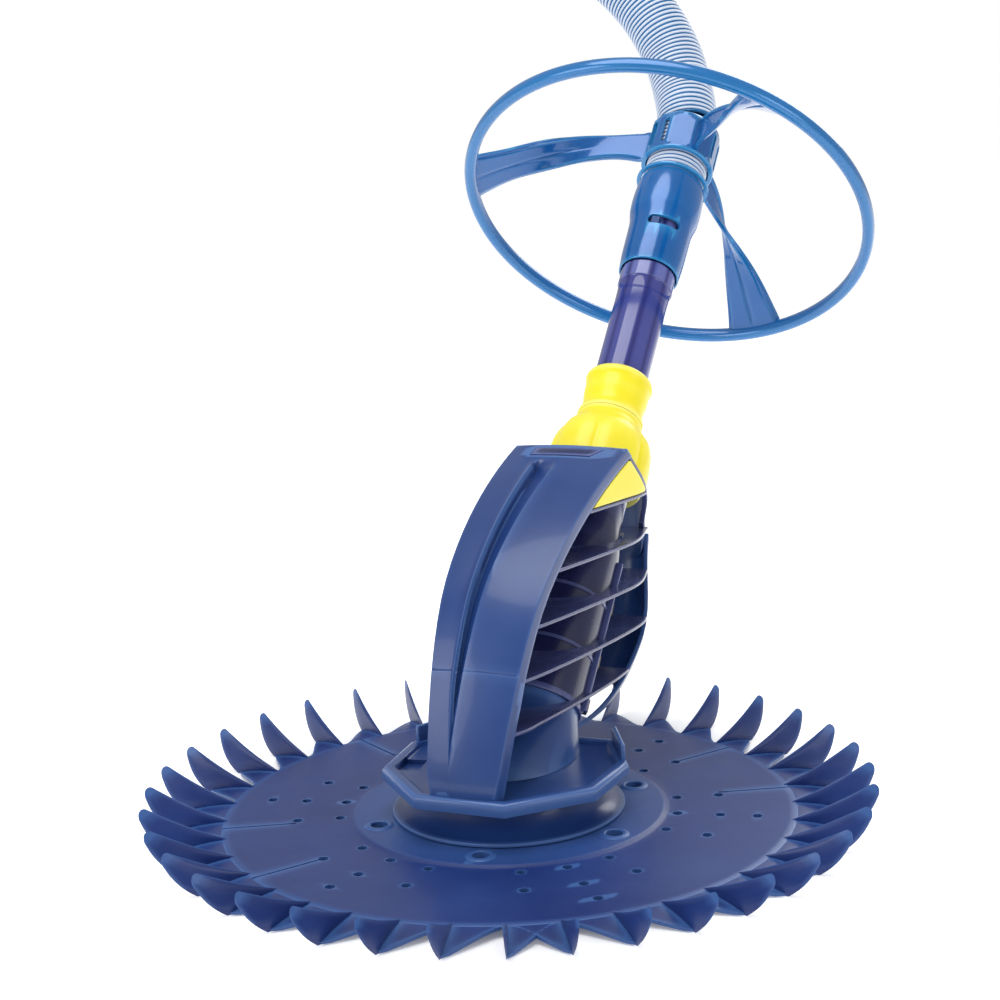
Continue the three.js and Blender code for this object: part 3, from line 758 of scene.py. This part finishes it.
DARK_COLOURS = ((0.016, 0.020, 0.085), (0.011, 0.013, 0.060), (0.13, 0.16, 0.38))
dark_finish = plastic("dark_plastic", *DARK_COLOURS, 0.24, gloss=0.35, grain=0.03)
cut_out(front_band, finished("label_cutter", label_body(0.5, 3.0, -0.9), navy_finish, leaning))
rounded(front_band, 0.0006, 2)
label_plate = finished("label_plate_blank", label_body(0, -0.15, -0.8), dark_finish, leaning)
belongs(label_plate, "cleaner", "dark_plastic", "label_plate")

# Rear shell: a navy channel that wraps the back of the body from the flange up, and stands up
# behind the neck as a narrow ear. It is screwed to the chamber from inside.
REAR_ROWS = [68, 72, 77, 83, 90, 98, 107, 117, 128, 139, 150, 161, 172, 183, 194, 205, 216, 227,
             237, 246, 252, 256, 258, 258.6, 264, 271, 279, 287, 294, 298]
REAR_COLUMNS = 36
EAR_HALF_WIDTH = 26.6


def rear_edge(a):
    return 76 - 0.0035 * abs(a - 190) ** 2.02 - max(0, a - 240) * 0.1


def rear_point(a, sweep):
    """A point of the body's rounded back: sweep runs from -90 degrees at one side to 90."""
    front, rear = -front_depth(a), rear_depth(a)
    shoulder, half = (front + rear) / 2, front_half_width(a) + BULGE
    turn = math.pi / 2 - abs(sweep)
    x = half * max(0.0, math.cos(turn)) ** 0.8 * (1 if sweep > 0 else -1)
    p = shoulder + (rear - shoulder) * max(0.0, math.sin(turn)) ** 0.8
    return Vector((x * top_taper(a, p), p, a))


def rear_place(across, along):
    a = REAR_ROWS[int(round(along * (len(REAR_ROWS) - 1)))]
    front, rear = -front_depth(a), rear_depth(a)
    shoulder, half = (front + rear) / 2, front_half_width(a) + BULGE
    reach = min(1.0, max(0.0, (rear_edge(a) - shoulder) / (rear - shoulder)))
    widest = math.pi / 2 - math.asin(reach ** 1.25)
    if a > 258.3:
        widest = min(widest, math.pi / 2 - math.acos((EAR_HALF_WIDTH / half) ** 1.25))
    return rear_point(a, widest * (2 * across - 1))


rear_body = bmesh.new()
bent_grid(rear_body, REAR_COLUMNS, len(REAR_ROWS) - 1, rear_place)
trim_below(rear_body, 0.0405)
face_outward(rear_body)
rear_band = finished("rear_band", rear_body, navy_finish, leaning, crease=38)
walled(rear_band, 0.0028)
rounded(rear_band, 0.0006, 2)
belongs(rear_band, "cleaner", "navy_plastic", "rear_shell")

# Chamber: the glossy dark tube that holds the cassette. It is moulded in two halves that meet in
# a side flange, and has a domed top with the neck above it.
chamber = finished("chamber_tube", turned([
    (30, 80), (32.6, 80), (33, 80.6), (33, 84), (32.4, 84.6), (32.4, 118), (32.9, 118.5),
    (32.9, 121), (32.4, 121.5), (32.4, 160), (32.9, 160.5), (32.9, 163), (32.4, 163.5),
    (32.4, 200), (32.2, 204), (31.6, 209), (30.6, 214), (29.2, 220), (27.9, 226), (27.5, 231),
    (27.5, 261.6), (27, 262), (24.8, 262), (24.8, 226), (28, 214), (30, 205),
], 120), dark_finish, leaning, crease=30)
belongs(chamber, "cleaner", "dark_plastic", "body_core")
for side, hand in SIDES:
    seam_body = bmesh.new()
    bmesh.ops.create_cube(seam_body, size=1, matrix=Matrix.Rotation(
        math.radians(90 - hand * 90 + hand * 12), 4, "Z") @ Matrix.Translation((34, 0, 142))
        @ Matrix.Diagonal((4.4, 3.0, 118, 1)))
    round_edges(seam_body, seam_body.edges[:], 0.9, 3)
    seam = finished(f"chamber_seam_{side}", seam_body, dark_finish, leaning)
    belongs(seam, "cleaner", "dark_plastic")

# Louvres: five thin dark plates that reach from the chamber out to the front and rear bands.
# They slope down towards the back, and water leaves between them.
LOUVRE_FIRST = 72.5
LOUVRE_PITCH = 31.8
LOUVRE_SLOPE = 0.079
LOUVRE_WALL = 2.4


def louvre_height(level, y):
    """Height of a louvre's middle, y millimetres behind the disc's axis."""
    return LOUVRE_FIRST + LOUVRE_PITCH * level - LOUVRE_SLOPE * y


def lean_coordinates(y, z):
    """Station up the pipe and depth behind it, of a point y behind the disc's axis, z high."""
    across, up = y + 7.3, z - 5
    return (math.sin(LEAN) * across + math.cos(LEAN) * up,
            math.cos(LEAN) * across - math.sin(LEAN) * up)


def first_crossing(low, high, inside):
    """Where inside(value) turns true, between a low value where it isn't and a high one."""
    for step in range(40):
        middle = (low + high) / 2
        if inside(middle):
            high = middle
        else:
            low = middle
    return high


def louvre_section(level, y):
    return lean_coordinates(y, louvre_height(level, y))


def behind_front_band(level, y):
    a, p = louvre_section(level, y)
    return p > BAND_LIP + 0.2 - front_depth(a)


def behind_rear_band(level, y):
    a, p = louvre_section(level, y)
    return p > rear_edge(a) - 0.2 or a > BAND_TOP - 0.5


for level in range(5):
    middle = 20 + 32 * level
    front_y = first_crossing(-110, middle, lambda y: behind_front_band(level, y))
    rear_y = first_crossing(middle, 260, lambda y: behind_rear_band(level, y))
    steps = [front_y + (rear_y - front_y) * step / 44 for step in range(45)]
    right_side = [(body_half_width(*louvre_section(level, y)) - 0.05, y, louvre_height(level, y))
                  for y in steps]
    outline = right_side + [(-x, y, z) for x, y, z in reversed(right_side)]
    louvre_body = bmesh.new()
    louvre_face = louvre_body.faces.new([
        louvre_body.verts.new((x, y, z + LOUVRE_WALL / 2)) for x, y, z in outline])
    pressed = bmesh.ops.extrude_face_region(louvre_body, geom=[louvre_face])["geom"]
    bmesh.ops.translate(louvre_body, vec=(0, 0, -LOUVRE_WALL), verts=[
        item for item in pressed if isinstance(item, bmesh.types.BMVert)])
    face_outward(louvre_body)
    rims = [edge for edge in louvre_body.edges if edge.calc_face_angle(0) > math.radians(60)]
    round_edges(louvre_body, rims, 0.7, 3)
    louvre = finished(f"louvre_{level + 1}", louvre_body, dark_finish, upright)
    chamber_space = bmesh.new()
    bmesh.ops.create_cone(
        chamber_space, cap_ends=True, segments=72, radius1=31.4, radius2=31.4, depth=260,
        matrix=Matrix.Translation((0, 0, 130)))
    cut_out(louvre, finished("chamber_space", chamber_space, dark_finish, leaning))
    belongs(louvre, "cleaner", "dark_plastic", "body_core")

# Top rails: a slim dark rail on each side that closes the top of the body's open flank, from
# the front band back to the ear.
for side, hand in SIDES:
    def rail_place(across, along):
        a = 254.6 + 3.2 * across
        p = -52 + (rear_edge(256) + 50) * along
        inwards = 1 - 0.1 * smooth_step((p - 2) / 54)
        return Vector((hand * (body_half_width(a, p) - 0.1) * inwards, p, a))

    rail_body = outward_sheet(2, 26, rail_place, 0, hand)
    rail = finished(f"top_rail_{side}", rail_body, dark_finish, leaning)
    walled(rail, 0.004)
    rounded(rail, 0.0005, 2, angle=None)
    belongs(rail, "cleaner", "dark_plastic")

# Yellow inserts: curved three-sided panels snapped into the flanks at the top of the body, and
# a pair of small four-sided ones low on its back.
YELLOW_COLOURS = ((0.92, 0.80, 0.02), (0.86, 0.72, 0.015), (1.0, 0.93, 0.25))
yellow_finish = plastic("yellow_plastic", *YELLOW_COLOURS, 0.34, gloss=0.15, grain=0.03)


def front_edge_station(p):
    """Station where the front band's back edge stands at depth p, above its widest point."""
    return 100 + max(0.0, (112.6 - BAND_LIP - 0.9 + p) / 0.0098) ** (1 / 1.72)


def above_top_louvre(p):
    """Station just above the top louvre at depth p."""
    lift = LOUVRE_FIRST + 4 * LOUVRE_PITCH + LOUVRE_WALL / 2 + 0.9 - 5 + 7.3 * LOUVRE_SLOPE
    rise = math.cos(LEAN) + LOUVRE_SLOPE * math.sin(LEAN)
    return (lift + (math.sin(LEAN) - LOUVRE_SLOPE * math.cos(LEAN)) * p) / rise


insert_tip = first_crossing(-110, -8, lambda p: front_edge_station(p) > above_top_louvre(p) + 0.5)
for side, hand in SIDES:
    def insert_place(across, along):
        p = insert_tip + (-9.5 - insert_tip) * across
        low = above_top_louvre(p)
        high = max(low + 0.3, min(253.8, front_edge_station(p)))
        a = low + (high - low) * along
        return Vector((hand * (body_half_width(a, p) + 0.2), p, a))

    insert_body = outward_sheet(26, 8, insert_place, 0, hand)
    insert = finished(f"flank_insert_{side}", insert_body, yellow_finish, leaning)
    walled(insert, 0.0024)
    rounded(insert, 0.0006, 3)
    belongs(insert, "cleaner", "yellow_plastic", f"front_insert_{side}")

    def back_insert_place(across, along):
        x = 12.6 + 17.8 * across
        lift = 2.2 - LOUVRE_PITCH / 2 + 3.2 + (LOUVRE_PITCH - 10.8) * along
        target = LOUVRE_FIRST + LOUVRE_PITCH * 0.5 + lift

        def point(a):
            half = front_half_width(a) + BULGE
            turn = math.acos(min(1.0, (x / half) ** 1.25))
            return rear_point(a, math.pi / 2 - turn)

        def too_high(a):
            spot = point(a)
            y = -7.3 + math.sin(LEAN) * a + math.cos(LEAN) * spot.y
            z = 5 + math.cos(LEAN) * a - math.sin(LEAN) * spot.y
            return z > target - LOUVRE_SLOPE * y

        spot = point(first_crossing(100, 250, too_high))
        return Vector((hand * spot.x, spot.y + 0.35, spot.z))

    back_body = outward_sheet(8, 10, back_insert_place, 1, 1)
    back_insert = finished(f"back_insert_{side}", back_body, yellow_finish, leaning)
    walled(back_insert, 0.0012)
    rounded(back_insert, 0.0004, 2)
    belongs(back_insert, "cleaner", "yellow_plastic", f"rear_insert_{side}")

# Clips and cassette: six sprung steel clips hold the chamber's halves together. Inside sit the
# grey cassette's seat, sleeve and ring, round its black rubber diaphragm.
steel_finish = plastic(
    "clip_steel", (0.36, 0.31, 0.24), (0.25, 0.21, 0.16), (0.40, 0.35, 0.27), 0.3, metal=0.9)
grey_finish = plastic(
    "grey_plastic", (0.30, 0.31, 0.33), (0.24, 0.25, 0.27), (0.45, 0.46, 0.48), 0.42)


def refinish(node, material):
    """Gives a CAD node its finish."""
    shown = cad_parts[node]
    shown.data.materials.clear()
    shown.data.materials.append(material)


for side, _ in SIDES:
    for number in (1, 2, 3):
        refinish(f"chamber_clip_{side}_{number}", steel_finish)
for node in ("cassette_seat", "cassette_sleeve", "cassette_ring"):
    refinish(node, grey_finish)
refinish("diaphragm", rubber_finish)

# Neck collar: a yellow screw collar with six rounded grip lobes, over the top of the chamber.
collar_rows = [(28, 262.3), (34.6, 262.3), (35.6, 263), (36, 265), (36.1, 269), (36.2, 274),
               (36, 280), (35.6, 286), (34.9, 292), (33.6, 297), (31.8, 301.5), (29.4, 305.5),
               (27, 309), (25.4, 312.5), (24.5, 315.5), (24, 318), (20.6, 318), (20.6, 290),
               (28, 280)]
collar_body = turned(collar_rows, 144)
for vert in collar_body.verts:
    reach, a = math.hypot(vert.co.x, vert.co.y), vert.co.z
    if reach > 24.2 and 262.5 < a < 317:
        turn = math.atan2(vert.co.y, vert.co.x)
        lobe = abs(math.cos(3 * (turn - math.radians(12)))) ** 0.55
        ease = smooth_step((a - 262.5) / 9) * (1 - smooth_step((a - 288 - 16 * lobe) / 7))
        swell = 1 + 0.085 * (lobe - 0.35) * ease
        vert.co.x *= swell
        vert.co.y *= swell
collar = finished("screw_collar", collar_body, yellow_finish, leaning, crease=40)
belongs(collar, "cleaner", "yellow_plastic", "neck_collar")
refinish("pipe_seal", rubber_finish)

# Extension pipe: two lengths of clear indigo tube, one inside the other. The outer one has
# darker streaks painted along its length as reflections, and a stop collar near its top.
INDIGO_COLOURS = ((0.060, 0.072, 0.30), (0.045, 0.052, 0.24), (0.16, 0.19, 0.48))
indigo_finish = plastic("indigo_plastic", *INDIGO_COLOURS, 0.1, gloss=0.5, grain=0.0,
                        see_through=0.06)
pipe_body = turned(
    [(17.9, 300), (20.15, 300)] + [(20.15, 300 + 141.5 * step / 12) for step in range(1, 13)]
    + [(20.6, 442.4), (21.3, 443), (21.3, 456), (20.6, 456.6), (20.15, 457.4), (20.15, 508),
       (17.9, 508)], 96)
# painted reflections: dark streaks laid along the outer pipe by the angle round its axis
PIPE_PAINTED_REFLECTIONS = ((-112, 5), (-62, 6), (-140, 4), (-25, 5), (20, 6), (75, 7), (130, 6), (175, 6))
painted_reflection_layer = pipe_body.verts.layers.float.new("painted_reflection")
for vert in pipe_body.verts:
    turn = math.degrees(math.atan2(vert.co.y, vert.co.x))
    vert[painted_reflection_layer] = max(
        math.exp(-(abs((turn - middle + 180) % 360 - 180) / width) ** 2)
        for middle, width in PIPE_PAINTED_REFLECTIONS)
painted(indigo_finish, "painted_reflection", (0.018, 0.02, 0.15, 1))
outer_pipe = finished("extension_pipe", pipe_body, indigo_finish, leaning, crease=40)
belongs(outer_pipe, "cleaner", "indigo_plastic", "outer_pipe")
refinish("inner_pipe", indigo_finish)

# Hand nut: the yellow nut that clamps the pipe in the neck, waisted, with a thin rolled lip.
nut = finished("clamp_nut", turned([
    (20.6, 318.3), (24.6, 318.3), (25, 319), (24.6, 321), (23.4, 323.5), (22.8, 327),
    (23.1, 331), (23.7, 335), (24.1, 339), (24.1, 343), (23.9, 346.6), (24.5, 348.4), (25.2, 349.6),
    (25.5, 351), (25.2, 352.6), (24.4, 354), (23.4, 354.9), (22.4, 355), (20.9, 354.6),
    (20.6, 354),
], 96), yellow_finish, leaning, crease=50)
belongs(nut, "nut", "yellow_plastic", "hand_nut")

# Hose end: the hose's own swivel sleeve, whose ribs show between the coupling and the hub. It
# is held by a blue clip ring on the coupling's top edge.
end_outline = [(21, 548.3), (23.2, 548.3)]
height = 549.5
while height + RIB_PITCH < 604.5:
    end_outline += [
        (23.2, height), (23.2, height + 0.9), (24.1, height + 1.4), (24.4, height + 2.0),
        (24.4, height + 2.9), (24.1, height + 3.6)]
    height += RIB_PITCH
end_outline += [(23.2, height), (23.2, 605), (21, 605)]
end_body = turned(end_outline, 72)
end_groove = end_body.verts.layers.float.new("groove")
for vert in end_body.verts:
    vert[end_groove] = 1.0 if math.hypot(vert.co.x, vert.co.y) < 23.8 else 0.0
hose_end = finished("hose_swivel_end", end_body, hose_finish, leaning, crease=60)
belongs(hose_end, "cleaner", "hose_plastic", "hose_end")

clip_ring = finished("clip_ring", turned([
    (25.7, 548.3), (28.4, 548.3), (29, 548.8), (29, 549.9), (28.4, 550.4), (25.7, 550.4),
], 96), sky_finish, leaning)
belongs(clip_ring, "cleaner", "sky_plastic", "hub_clip")
refinish("lock_lug", plastic(
    "lug_plastic", (0.003, 0.05, 0.2), (0.003, 0.04, 0.16), (0.003, 0.05, 0.2), 0.4))

# Twist coupling: a blue collar with a swelling shoulder, that turns to lock the hose end to the
# pipe. A round-ended slot in its front shows the lug that it locks against.
coupling_body = turned([
    (22.2, 457), (23.2, 457), (23.5, 457.4), (23.7, 460), (24.1, 465), (24.4, 470), (24.6, 478),
    (24.7, 486), (24.8, 494), (24.9, 500), (25.2, 504), (25.9, 508), (26.7, 511.5), (27.2, 515),
    (27.5, 520), (27.6, 525), (27.5, 530), (27.2, 535), (26.8, 540), (26.2, 544), (25.6, 547),
    (25, 548), (21, 548), (21, 512), (22.6, 505), (22.2, 470),
], 120)
for vert in coupling_body.verts:
    reach, a = math.hypot(vert.co.x, vert.co.y), vert.co.z
    if reach > 22.9:
        turn = math.degrees(math.atan2(vert.co.y, vert.co.x))
        beside = abs((turn + 64 + 180) % 360 - 180)
        lip = math.exp(-((a - 488.0) / 3.2) ** 2) * (1 - smooth_step((beside - 24) / 14))
        brow = math.exp(-((a - 503.5) / 3.4) ** 2) * (1 - smooth_step((beside - 20) / 18))
        swell = 1 + 0.035 * lip + 0.02 * brow
        vert.co.x *= swell
        vert.co.y *= swell
coupling = finished("lock_coupling", coupling_body, sky_finish, leaning, crease=35)
slot_space = bmesh.new()
SLOT_MIDDLE, SLOT_REACH = -64, 27
SLOT_LOW, SLOT_HIGH, SLOT_ROUND = 490.0, 498.5, 9.5
slot_start, slot_end = SLOT_MIDDLE - SLOT_REACH + 5, SLOT_MIDDLE + SLOT_REACH - 5
slot_level, slot_half = (SLOT_LOW + SLOT_HIGH) / 2, (SLOT_HIGH - SLOT_LOW) / 2


def slot_corner(degrees, height):
    turn = math.radians(degrees)
    return Vector((math.cos(turn), math.sin(turn), 0)), height


slot_edge = [slot_start + (slot_end - slot_start) * step / 12 for step in range(13)]
slot_turns = [math.pi * step / 6 for step in range(1, 6)]
slot_outline = (
    [slot_corner(degrees, SLOT_LOW) for degrees in slot_edge]
    + [slot_corner(slot_end + SLOT_ROUND * math.sin(turn), slot_level - slot_half * math.cos(turn))
       for turn in slot_turns]
    + [slot_corner(degrees, SLOT_HIGH) for degrees in reversed(slot_edge)]
    + [slot_corner(slot_start - SLOT_ROUND * math.sin(turn),
                   slot_level + slot_half * math.cos(turn)) for turn in slot_turns])
near = [slot_space.verts.new((*(d * 21.2).xy, a)) for d, a in slot_outline]
far = [slot_space.verts.new((*(d * 36).xy, a)) for d, a in slot_outline]
for here in range(len(near)):
    there = (here + 1) % len(near)
    slot_space.faces.new((near[here], near[there], far[there], far[here]))
slot_space.faces.new(near)
slot_space.faces.new(far[::-1])
bmesh.ops.triangulate(slot_space, faces=[f for f in slot_space.faces if len(f.verts) > 4])
face_outward(slot_space)
cut_out(coupling, finished("slot_space", slot_space, sky_finish, leaning))
belongs(coupling, "coupling", "sky_plastic", "twist_coupling")

# Deflector wheel: one blue moulding that turns freely on the hose end. A sleeve of flat panels,
# three arched spokes with turned-up rims, and a rounded ring that keeps the body off the walls.
RING_RADIUS = 159.5
RING_PLANE = 523.5
ring_outline = []
for step in range(20):
    turn = 2 * math.pi * step / 20
    ring_outline.append((
        RING_RADIUS + 4.7 * math.copysign(abs(math.cos(turn)) ** 0.85, math.cos(turn)),
        RING_PLANE + 5.8 * math.copysign(abs(math.sin(turn)) ** 0.85, math.sin(turn))))
ring = finished("wheel_ring", turned(ring_outline, 180), sky_finish, leaning, crease=50)
belongs(ring, "wheel", "sky_plastic", "deflector_wheel")

hub_body = turned([
    (25.2, 566.6), (25.8, 566), (28.4, 566), (29.1, 566.7), (29.2, 568), (28.5, 569.5),
    (28.3, 572), (28.3, 585), (28.3, 597), (28.2, 601), (27.6, 604), (27, 605), (25.9, 605),
    (25.2, 604.4),
], 144)
for vert in hub_body.verts:
    if vert.co.xy.length > 27.9 and 568.5 < vert.co.z < 602:
        turn = (math.degrees(math.atan2(vert.co.y, vert.co.x)) + 15) % 40 - 20
        flat = min(27.4 / math.cos(math.radians(turn)), 29.0)
        vert.co.xy = vert.co.xy.normalized() * flat
hub = finished("wheel_hub", hub_body, sky_finish, leaning, crease=24)
hub_slots = bmesh.new()
for degrees in (-10, 20, 110, 140, 230, 255):
    bmesh.ops.create_cube(hub_slots, size=1, matrix=Matrix.Rotation(
        math.radians(degrees), 4, "Z") @ Matrix.Translation((28, 0, 586))
        @ Matrix.Diagonal((10, 5.2, 25, 1)))
through_edges = [
    edge for edge in hub_slots.edges
    if abs((edge.verts[0].co - edge.verts[1].co).normalized().z) < 0.1
    and abs((edge.verts[0].co - edge.verts[1].co).length - 10) < 0.1]
round_edges(hub_slots, through_edges, 2.2, 4)
cut_out(hub, finished("hub_slots", hub_slots, sky_finish, leaning))
belongs(hub, "wheel", "sky_plastic", "deflector_wheel")


def spoke_frame(t):
    """Middle, breadth and roll of a spoke at share t of the way from the hub to the ring."""
    radius = 27.6 + (RING_RADIUS - 27.6) * t
    height = RING_PLANE + 62 * (1 - t ** 1.7)
    width = 30 - 44 * t + 64 * t * t
    roll = math.pi / 2 * (1 - smooth_step((t - 0.15) / 0.7))
    return radius, height, width, roll


def spoke_place(across, along):
    radius, height, width, roll = spoke_frame(along)
    reach = (across - 0.5) * width
    rim = smooth_step((abs(across - 0.5) - 0.40) / 0.08)
    web = math.exp(-((across - 0.5) * width / 1.6) ** 2) * smooth_step((along - 0.3) / 0.2)
    through = 1.9 * rim + 1.2 * web * (1 - smooth_step((along - 0.93) / 0.07))
    through *= 1 - smooth_step((along - 0.96) / 0.04)
    through *= smooth_step(along / 0.05)
    y = reach * math.cos(roll) - through * math.sin(roll)
    z = reach * math.sin(roll) + through * math.cos(roll)
    return Vector((radius, y, height + z))


for number, degrees in enumerate((-165, -45, 75)):
    spoke_body = bmesh.new()
    bent_grid(spoke_body, 36, 48, spoke_place)
    bmesh.ops.transform(
        spoke_body, matrix=Matrix.Rotation(math.radians(degrees), 4, "Z"), verts=spoke_body.verts)
    face_outward(spoke_body)
    spoke = finished(f"spoke_{number + 1}", spoke_body, sky_finish, leaning, crease=60)
    walled(spoke, 0.0028, offset=0)
    rounded(spoke, 0.0008, 3)
    belongs(spoke, "wheel", "sky_plastic", "deflector_wheel")
